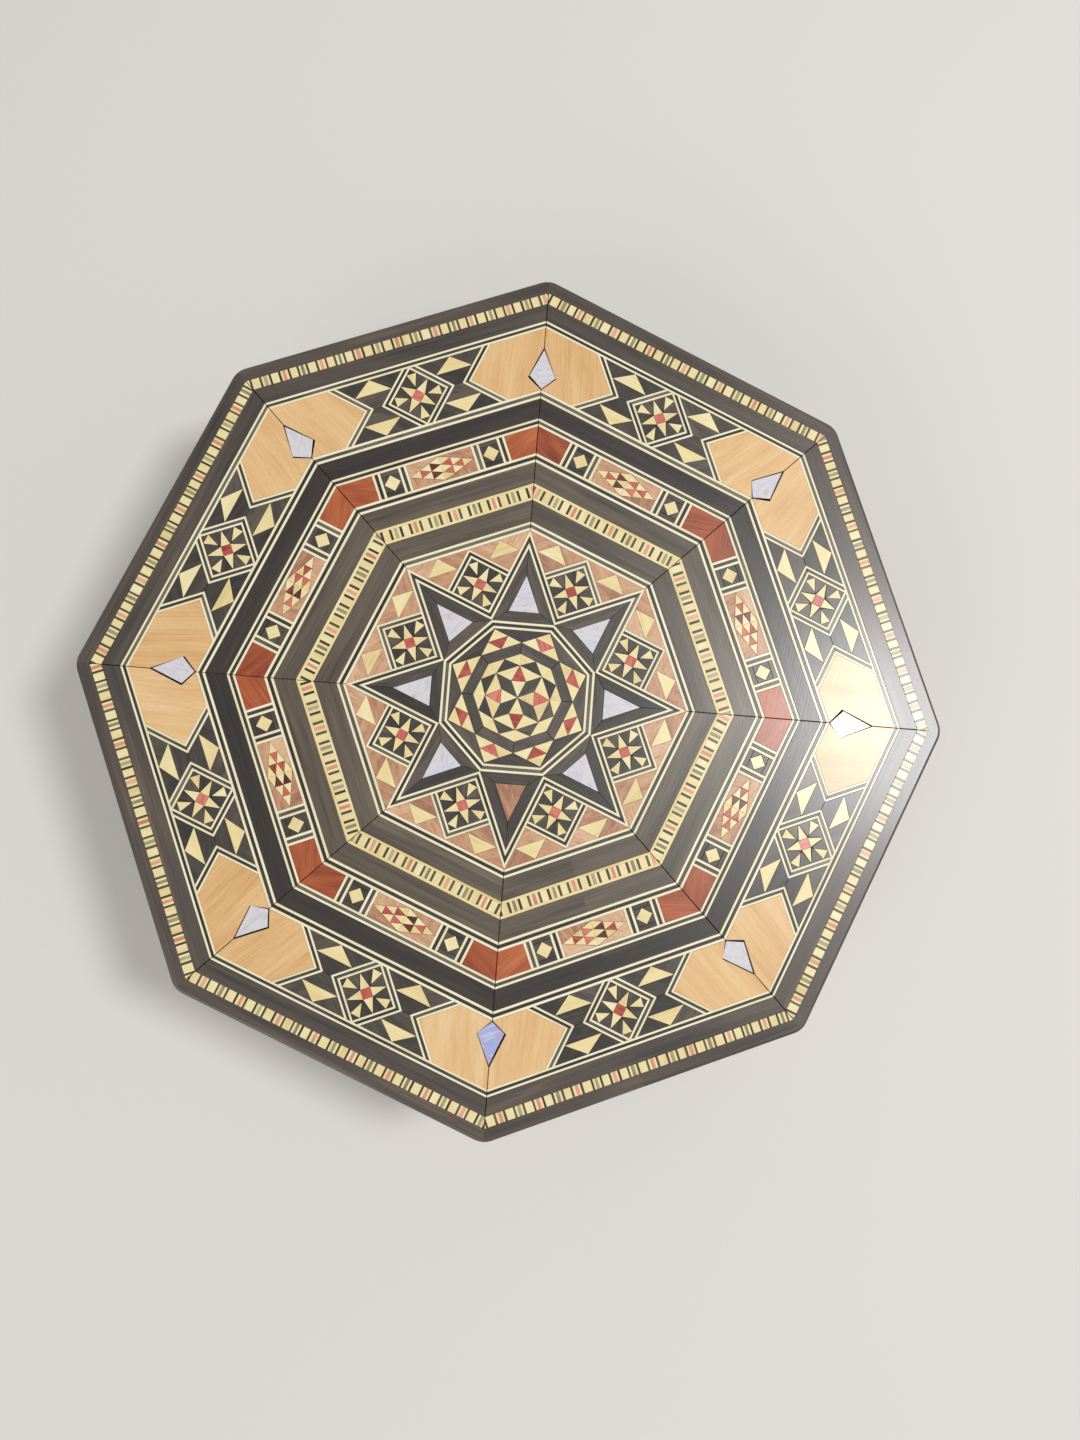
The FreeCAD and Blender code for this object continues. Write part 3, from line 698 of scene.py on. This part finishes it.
def inner_bars(kit, seed, low, high):
    """Threes of bars: dark, olive or pink, dark, with cream between."""
    rng = random.Random(seed)
    length = high * HALF_TAN + 1
    t = -length - rng.uniform(0, 5)
    i = rng.randrange(2)
    while t < length:
        middle = "olive" if i % 2 else "pink"
        for key, width in (("bar", 0.68), ("cream", 0.76), (middle, 0.86), ("cream", 0.76),
                           ("bar", 0.68), ("cream", 1.95)):
            width *= rng.uniform(0.94, 1.06)
            box = [(t, low), (t + width, low), (t + width, high), (t, high)]
            kit[key].add(in_sector(box), math.pi / 2, joint=0.0)
            t += width
        i += 1


def mitre_point(radius, sx, side=0.0):
    """A point on a mitre, given how far it is from the middle, then moved aside from it."""
    t = radius * HALF_SIN - side * HALF_COS
    v = radius * HALF_COS + side * HALF_SIN
    return (sx * t, v)


def wide_band():
    kit = Kit()
    half = (WIDE - RING_2) / 2
    foot = RING_2 / HALF_COS
    tip = foot + KITE_LENGTH
    shoulder = tip - KITE_SHOULDER * KITE_LENGTH

    def corner(sx):
        outer = WIDE / HALF_COS
        return [mitre_point(outer, sx, MITRE), mitre_point(tip + 0.2, sx, MITRE),
                mitre_point(shoulder, sx, KITE_WIDTH / 2), mitre_point(foot, sx, MITRE)]

    star_band(kit, (WIDE + RING_2) / 2, half, corner)
    finish_kit(kit, "wide_band", "lid", {
        "maple": (("wide_band_corner_panels",), "maple"),
        "dark": (("wide_band_wedge_units",), "marquetry"),
        "cream": (("wide_band_star_tiles",), "marquetry"),
        "white": (("wide_band_star_frames", "wide_band_arrow_stringing"), "stringing")}, 20)
    kites(foot, tip, shoulder)


BLUE_KITE = 3             # one kite is cut from blue shell
BARE_POINT = 3            # one point of the star has lost its pearl and shows plum wood


def kites(foot, tip, shoulder):
    """Pearl kites across the mitres, each a little off its seat in black mastic; one is bluish."""
    rng = random.Random(5)
    bed = Kit()
    for k in range(SIDES):
        angle = SECTOR * (k + 0.5)
        kit = Kit()
        shrink = rng.uniform(0.12, 0.3)
        shift = rng.uniform(-0.22, 0.22)
        half = KITE_WIDTH / 2 - shrink
        outline = [(shift * 0.5, tip - 0.15 - shrink),
                   (half + shift, shoulder + rng.uniform(-0.4, 0.5)),
                   (shift * 0.3, foot + 0.12 + shrink * 0.6),
                   (-half + shift, shoulder + rng.uniform(-0.4, 0.5))]
        kit["pearl"].add(outline, rng.uniform(0, 3), 0.0)
        material = PEARL_BLUE if k == BLUE_KITE else PEARL
        nodes = ("wide_band_pearl_kites",) if k == 0 else ()
        piece_of(kit["pearl"], "pearl_kite_%d" % (k + 1), material, "lid", nodes, "pearl",
                 40 + k, 1, angle)
    bed["mastic"].add([(0, tip + 0.2), (KITE_WIDTH / 2, shoulder), (0, foot),
                       (-KITE_WIDTH / 2, shoulder)], 0, -FILLER_DROP, 0.0)
    piece_of(bed["mastic"], "kite_beds", MASTIC, "lid", (), "dark_wood", 60, SIDES, SECTOR / 2)


def narrow_band():
    """Red-brown corner blocks, crossbars, diamond tiles and a rhombus panel on each side."""
    kit = Kit()
    low, high = RING_4, NARROW
    middle = (low + high) / 2
    half = (high - low) / 2
    bar_1 = PANEL_HALF + CROSSBAR_W
    tile = bar_1 + DIAMOND_TILE_W
    bar_2 = tile + CROSSBAR_W

    def box(t0, t1, v0=low, v1=high):
        return in_sector([(t0, v0), (t1, v0), (t1, v1), (t0, v1)])

    for s in (1, -1):
        for a, b in ((PANEL_HALF, bar_1), (tile, bar_2)):
            laminate(kit, box(s * a, s * b), (0, 1))
        kit["padauk"].add(box(s * bar_2, s * high), s * 0.35)
        diamond_tile(kit, s * (bar_1 + tile) / 2, middle, DIAMOND_TILE_W / 2, half)
    rhombus_panel(kit, middle, half)
    finish_kit(kit, "narrow_band", "lid", {
        "padauk": (("narrow_band_corner_blocks",), "padauk"),
        "salmon": (("narrow_band_rhombus_panels",), "marquetry"),
        "dark": (("narrow_band_diamond_tiles",), "marquetry"),
        "white": (("narrow_band_crossbars",), "stringing")}, 70)


def diamond_tile(kit, t, v, half_w, half_h):
    """A cream diamond in four dark corners, with a thin dark strip above and below."""
    d = DIAMOND_HALF
    kit["cream"].add([(t + d, v), (t, v + d), (t - d, v), (t, v - d)], 0.8)
    for sx in (1, -1):
        for sy in (1, -1):
            kit["dark"].add([(t + sx * d, v), (t + sx * half_w, v), (t + sx * half_w, v + sy * d),
                             (t, v + sy * d)], sx * sy * 0.5)
    for sy in (1, -1):
        kit["dark"].add([(t - half_w, v + sy * d), (t + half_w, v + sy * d),
                         (t + half_w, v + sy * half_h), (t - half_w, v + sy * half_h)], 0)


def rhombus_panel(kit, middle, half):
    """A long rhombus of eighteen small triangles in four corners of salmon wood."""
    reach_t = PANEL_HALF - 0.3
    reach_v = half - 0.12
    step_t = reach_t / 3
    step_v = reach_v / 3

    def at(i, j):
        """Grid point: column i from the middle, j half-steps up."""
        return (i * step_t, middle + j * step_v)

    for side in (1, -1):
        for column in range(3):
            x0, x1 = column, column + 1
            rows = 3 - column
            for n in range(rows):
                j = rows - 1 - 2 * n
                out = [at(side * x0, j + 1), at(side * x0, j - 1), at(side * x1, j)]
                kit["cream"].add(out, 0.3 * j, joint=0.02)
            for n in range(rows - 1):
                j = rows - 2 - 2 * n
                inward = [at(side * x1, j + 1), at(side * x1, j - 1), at(side * x0, j)]
                red = "deep_red" if side > 0 and column == 0 else "red"
                kit[red].add(inward, 0.6, joint=0.05)
    for sx in (1, -1):
        for sy in (1, -1):
            corner = [(sx * reach_t, middle), (sx * PANEL_HALF, middle),
                      (sx * PANEL_HALF, middle + sy * half), (0, middle + sy * half),
                      (0, middle + sy * reach_v)]
            kit["salmon"].add(corner, 0.2 if sy > 0 else 1.3)


def centre_panel():
    """Between the star's points: a star tile, its two outer rods and two wedges."""
    kit = Kit()
    valley = PANEL / HALF_COS * math.cos(math.radians(67.5)) * ROOT2
    tile = (PANEL - valley - STRING_W * ROOT2) / 2
    middle = valley + tile
    edge = tile + STRING_W / ROOT2
    frame_d = tile + STRING_W * ROOT2
    star_tile(kit, (0, middle), tile)
    for s in (1, -1):
        rod = [(0, middle + tile), (0, middle + frame_d), (s * edge, middle + STRING_W / ROOT2),
               (s * tile, middle)]
        laminate(kit, rod, (-s, 1))
        wedge_unit(kit, (s * 0.01, PANEL), (s * PANEL * HALF_TAN, PANEL),
                   [(s * edge, middle + STRING_W / ROOT2)], "salmon")
    finish_kit(kit, "valley", "lid", {
        "salmon": (("valley_wedge_units",), "marquetry"),
        "cream": (("valley_star_tiles",), "marquetry"),
        "white": (("valley_tile_stringing",), "stringing")}, 80)
    star_points(valley)


def star_points(valley):
    """Corner sectors: stringing, dark borders, a pearl in each point and the core."""
    kit = Kit()
    tip = PANEL / HALF_COS
    core = (valley - STAR_STRING_W * ROOT2) * HALF_COS
    string_tip = tip - STAR_STRING_W / HALF_SIN
    pearl_tip = string_tip - STAR_BORDER_W / HALF_SIN
    pearl_base = core + STAR_BORDER_W
    foot = (string_tip - core) * HALF_TAN
    pearl_foot = (pearl_tip - pearl_base) * HALF_TAN
    for s in (1, -1):
        rod = [(0, tip), (s * valley * HALF_SIN, valley * HALF_COS), (s * foot, core),
               (0, string_tip)]
        laminate(kit, rod, (s * HALF_SIN, -HALF_COS))
        kit["dark"].add([(0, string_tip), (s * foot, core), (s * pearl_foot, pearl_base),
                         (0, pearl_tip)], math.pi / 2 + s * 0.39, joint=0.04)
    kit["dark"].add([(-foot, core), (foot, core), (pearl_foot, pearl_base),
                     (-pearl_foot, pearl_base)], 0, joint=0.04)
    inner = core - CORE_STRING_W
    laminate(kit, [(-core * HALF_TAN, core), (core * HALF_TAN, core), (inner * HALF_TAN, inner),
                   (-inner * HALF_TAN, inner)], (1, 0))
    ring_out = inner - CORE_POINT_H
    kit["dark"].add([(-inner * HALF_TAN, inner), (inner * HALF_TAN, inner),
                     (0, ring_out / HALF_COS)], 0.2)
    finish_kit(kit, "star_points", "lid", {
        "dark": (("star_point_borders", "core_infill_triangles"), "dark_wood"),
        "white": (("star_point_stringing", "core_stringing"), "stringing")}, 90, SIDES, SECTOR / 2)
    for k in range(SIDES):
        pearl = Chips()
        pearl.add([(0, pearl_tip), (pearl_foot, pearl_base), (-pearl_foot, pearl_base)],
                  0.4 * k, 0.0, 0.08)
        material = SALMON if k == BARE_POINT else PEARL
        piece_of(pearl, "star_pearl_%d" % (k + 1), material, "lid",
                 ("star_point_pearls",) if k == 0 else (), "pearl", 110 + k, 1, SECTOR * (k + 0.5))
    core_units(inner, ring_out)


ROSETTE_IN = 0.735        # the cream rhombi's inner corners, as a share of their outer ones
CROSS_BELLY = (0.2, 0.52)  # the dark rhombi's half width and its place, as shares of their length


def core_units(inner, ring_out):
    """Eight cream units with a red triangle, the dark ring under them and the rosette."""
    kit = Kit()
    ring_in = ring_out - CORE_RING_W
    corner = inner / HALF_COS - 0.25
    t = ring_out * HALF_TAN
    top, left, right = (0, corner), (-t, ring_out), (t, ring_out)
    a = (-t / 2, (corner + ring_out) / 2)
    b = (t / 2, (corner + ring_out) / 2)
    c = (0, ring_out)
    kit["cream"].add([top, a, b], 0.3)
    kit["cream"].add([a, left, c], 0.3)
    kit["cream"].add([b, c, right], 0.3)
    kit["red"].add([a, c, b], 0.8)
    kit["dark"].add([left, right, (ring_in * HALF_TAN, ring_in), (-ring_in * HALF_TAN, ring_in)],
                    0, joint=0.05)
    rosette(kit, ring_in)
    finish_kit(kit, "core", "lid", {
        "cream": (("core_point_units",), "marquetry"), "dark": (("core_ring",), "dark_wood"),
        "red": (("core_rosette",), "marquetry")}, 130)
    rosette_cross(ring_in)


def rosette(kit, ring_in):
    """Round the rosette, by side: half of two cream rhombi with a dark triangle between them."""
    flat = (0, ring_in)
    edge = ring_in * HALF_TAN
    inner_r = ROSETTE_IN * ring_in / HALF_COS
    for s in (1, -1):
        outer_corner = (s * edge, ring_in)
        inner_corner = (s * inner_r * HALF_SIN, inner_r * HALF_COS)
        kit["cream"].add([flat, outer_corner, inner_corner], s * 0.4, joint=0.0)
    kit["dark"].add([flat, (inner_r * HALF_SIN, inner_r * HALF_COS),
                     (-inner_r * HALF_SIN, inner_r * HALF_COS)], 0.3)


def rosette_cross(ring_in):
    """The middle: four dark rhombi in a cross, and between them cream and red triangles."""
    kit = Kit()
    reach_r = ROSETTE_IN * ring_in / HALF_COS
    wide, along = (share * reach_r for share in CROSS_BELLY)
    kit["dark"].add([(0, 0), (wide, along), (0, reach_r), (-wide, along)], math.pi / 2)
    north = (0, reach_r)
    west = (-reach_r, 0)
    between = (-reach_r / ROOT2, reach_r / ROOT2)
    n_side = (-wide, along)
    w_side = (-along, wide)
    kit["cream"].add([(0, 0), n_side, w_side], 0.8)
    kit["cream"].add([north, between, n_side], 0.2)
    kit["cream"].add([west, w_side, between], 1.4)
    kit["red"].add([between, w_side, n_side], 0.8)
    for n, (key, chips) in enumerate(sorted(kit.items())):
        for q in range(4):
            piece_of(chips, "rosette_%s_%d" % (key, q + 1), WOODS[key], "lid", (), "marquetry",
                     150 + 4 * n + q, 1, math.pi / 2 * q + SECTOR / 2)


lid_rings()
lid_stripes()
wide_band()
narrow_band()
centre_panel()


def glue_bed():
    """Dark glue that shows in the joints, just under the face of the inlay."""
    bed = Chips()
    half = EDGE * HALF_TAN - 2
    bed.add([(-half, EDGE - 2), (half, EDGE - 2), (0, 0)], 0, -FILLER_DROP, 0.0)
    piece_of(bed, "glue_bed", MASTIC, "lid", (), "dark_wood", 170)


glue_bed()


# ------------------------------------------------------------------ walls and the lid's sides
def wall_levels(node, count):
    """Heights (low, high) of a wall node's strips, read from its corners, in millimetres."""
    heights = sorted({round(v.co.z / MM, 2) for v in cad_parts[node].data.vertices})
    return list(zip(heights[0::2], heights[1::2]))[:count]


def wall_inlay():
    """Stringing above and below a star band, on every wall of the case."""
    kit = Kit()
    for low, high in wall_levels("side_stringing", 2):
        span = WALL_FACE * HALF_TAN
        laminate(kit, [(-span, low), (span, low), (span, high), (-span, high)], (1, 0), on_wall)
    band_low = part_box("side_corner_panels")[0].z / MM
    band_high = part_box("side_corner_panels")[1].z / MM
    half = (band_high - band_low) / 2
    span = WALL_FACE * HALF_TAN

    def corner(sx):
        return [(sx * span, band_high), (sx * span, band_low)]

    star_band(kit, (band_low + band_high) / 2, half, corner, on_wall)
    finish_kit(kit, "wall", "case", {
        "maple": (("side_corner_panels",), "maple"),
        "dark": (("side_wedge_units",), "marquetry"),
        "cream": (("side_star_tiles",), "marquetry"),
        "white": (("side_stringing", "side_star_frames", "side_arrow_stringing"),
                  "stringing")}, 200)


def wall_stripes():
    """The striped strips of the walls and the one let into the lid's sides."""
    levels = wall_levels("side_stripe_bands", 2)
    for k in range(SIDES):
        kit = Kit()
        for n, (low, high) in enumerate(levels):
            striped(kit, 300 + 10 * k + n, low, high, WALL_FACE * HALF_TAN, on_wall, False)
        finish_kit(kit, "wall_stripes_%d" % (k + 1), "case",
                   {"cream": (("side_stripe_bands",) if k == 0 else (), "stripes")},
                   210 + k, 1, k * SECTOR)
        kit = Kit()
        low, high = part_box("lid_side_stripe")[0].z / MM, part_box("lid_side_stripe")[1].z / MM
        striped(kit, 400 + k, low, high, WALL_FACE * HALF_TAN, on_wall, False)
        finish_kit(kit, "lid_side_stripes_%d" % (k + 1), "lid",
                   {"cream": (("lid_side_stripe",) if k == 0 else (), "stripes")},
                   230 + k, 1, k * SECTOR)


wall_inlay()
wall_stripes()


# ------------------------------------------------------------------ carried-over nodes
def clothe(material, *names):
    """Give the frame's own nodes their finish."""
    for name in names:
        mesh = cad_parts[name].data
        mesh.materials.clear()
        mesh.materials.append(material)


clothe(WALNUT_EDGE, "lid_rim_rails", "lid_edge_band", "side_walnut_bands")
clothe(BEECH, "wall_boards", "base_board", "lid_board")
clothe(FELT, "base_felt")
clothe(BRASS, "case_hinge_leaves", "lid_hinge_leaves", "hinge_pins", "case_hinge_screws",
       "lid_hinge_screws")
clothe(VELVET, "floor_pad", "lid_pad", "wall_pads")


# ------------------------------------------------------------------ stage
VIEW_TURN = math.radians(-22.5)   # the box lies turned by this on the table
CAMERA_ABOVE = 291        # the camera's height over the lid's top (mm)
CAMERA_ROLL = math.radians(94.3)


def turned(x, y, z):
    """A place or direction given square to the box, turned with it on the table."""
    c, s = math.cos(VIEW_TURN), math.sin(VIEW_TURN)
    return Vector((x * c - y * s, x * s + y * c, z))


def make_stage():
    bpy.ops.mesh.primitive_plane_add(size=6, location=(0, 0, -0.0002))
    floor = bpy.context.object
    floor.name = "floor"
    made, _, shader = new_material("pale_floor")
    shader.inputs["Base Color"].default_value = linear("#E9E6E1")
    shader.inputs["Roughness"].default_value = 0.8
    floor.data.materials.append(made)
    world = bpy.data.worlds.new("soft_room")
    bpy.context.scene.world = world
    world.use_nodes = True
    back = world.node_tree.nodes["Background"]
    back.inputs[0].default_value = linear("#F4F4F6")
    back.inputs[1].default_value = 0.5


def add_lamp(name, place, target, size, power):
    light = bpy.data.lights.new(name, "AREA")
    light.shape = "DISK"
    light.size = size
    light.energy = power
    lamp = bpy.data.objects.new(name, light)
    bpy.context.scene.collection.objects.link(lamp)
    lamp.location = place
    lamp.rotation_euler = (Vector(target) - Vector(place)).to_track_quat("-Z", "Y").to_euler()


def make_camera():
    """Nearly overhead, leaning a little, with the box turned a few degrees in the frame."""
    place = turned(-8.2 * MM, -29.5 * MM, CAMERA_ABOVE * MM) + Vector((0, 0, LID_TOP * MM))
    look = turned(0.051, 0.0815, -0.9955).normalized()
    up = turned(math.cos(CAMERA_ROLL), math.sin(CAMERA_ROLL), 0)
    right = look.cross(up).normalized()
    up = right.cross(look).normalized()
    data = bpy.data.cameras.new("camera")
    data.sensor_width = 36
    data.lens = 26.5
    camera = bpy.data.objects.new("camera", data)
    bpy.context.scene.collection.objects.link(camera)
    basis = Matrix((right, up, -look)).transposed()
    camera.matrix_world = Matrix.Translation(place) @ basis.to_4x4()
    bpy.context.scene.camera = camera


def make_lamps():
    """A key lamp whose reflection falls on one corner of the lid, and a wide fill."""
    corner = turned(108 * MM, 0, LID_TOP * MM)
    ray = turned(0.369, 0.0955, 0.926).normalized()
    add_lamp("key_lamp", corner + ray * 1.25, (0, 0, 0.05), 0.28, 7.5)
    add_lamp("fill_lamp", turned(-0.7, -0.9, 1.0), (0, 0, 0.05), 0.9, 3.0)


make_stage()
make_camera()
make_lamps()
bpy.context.scene.view_settings.view_transform = "Standard"
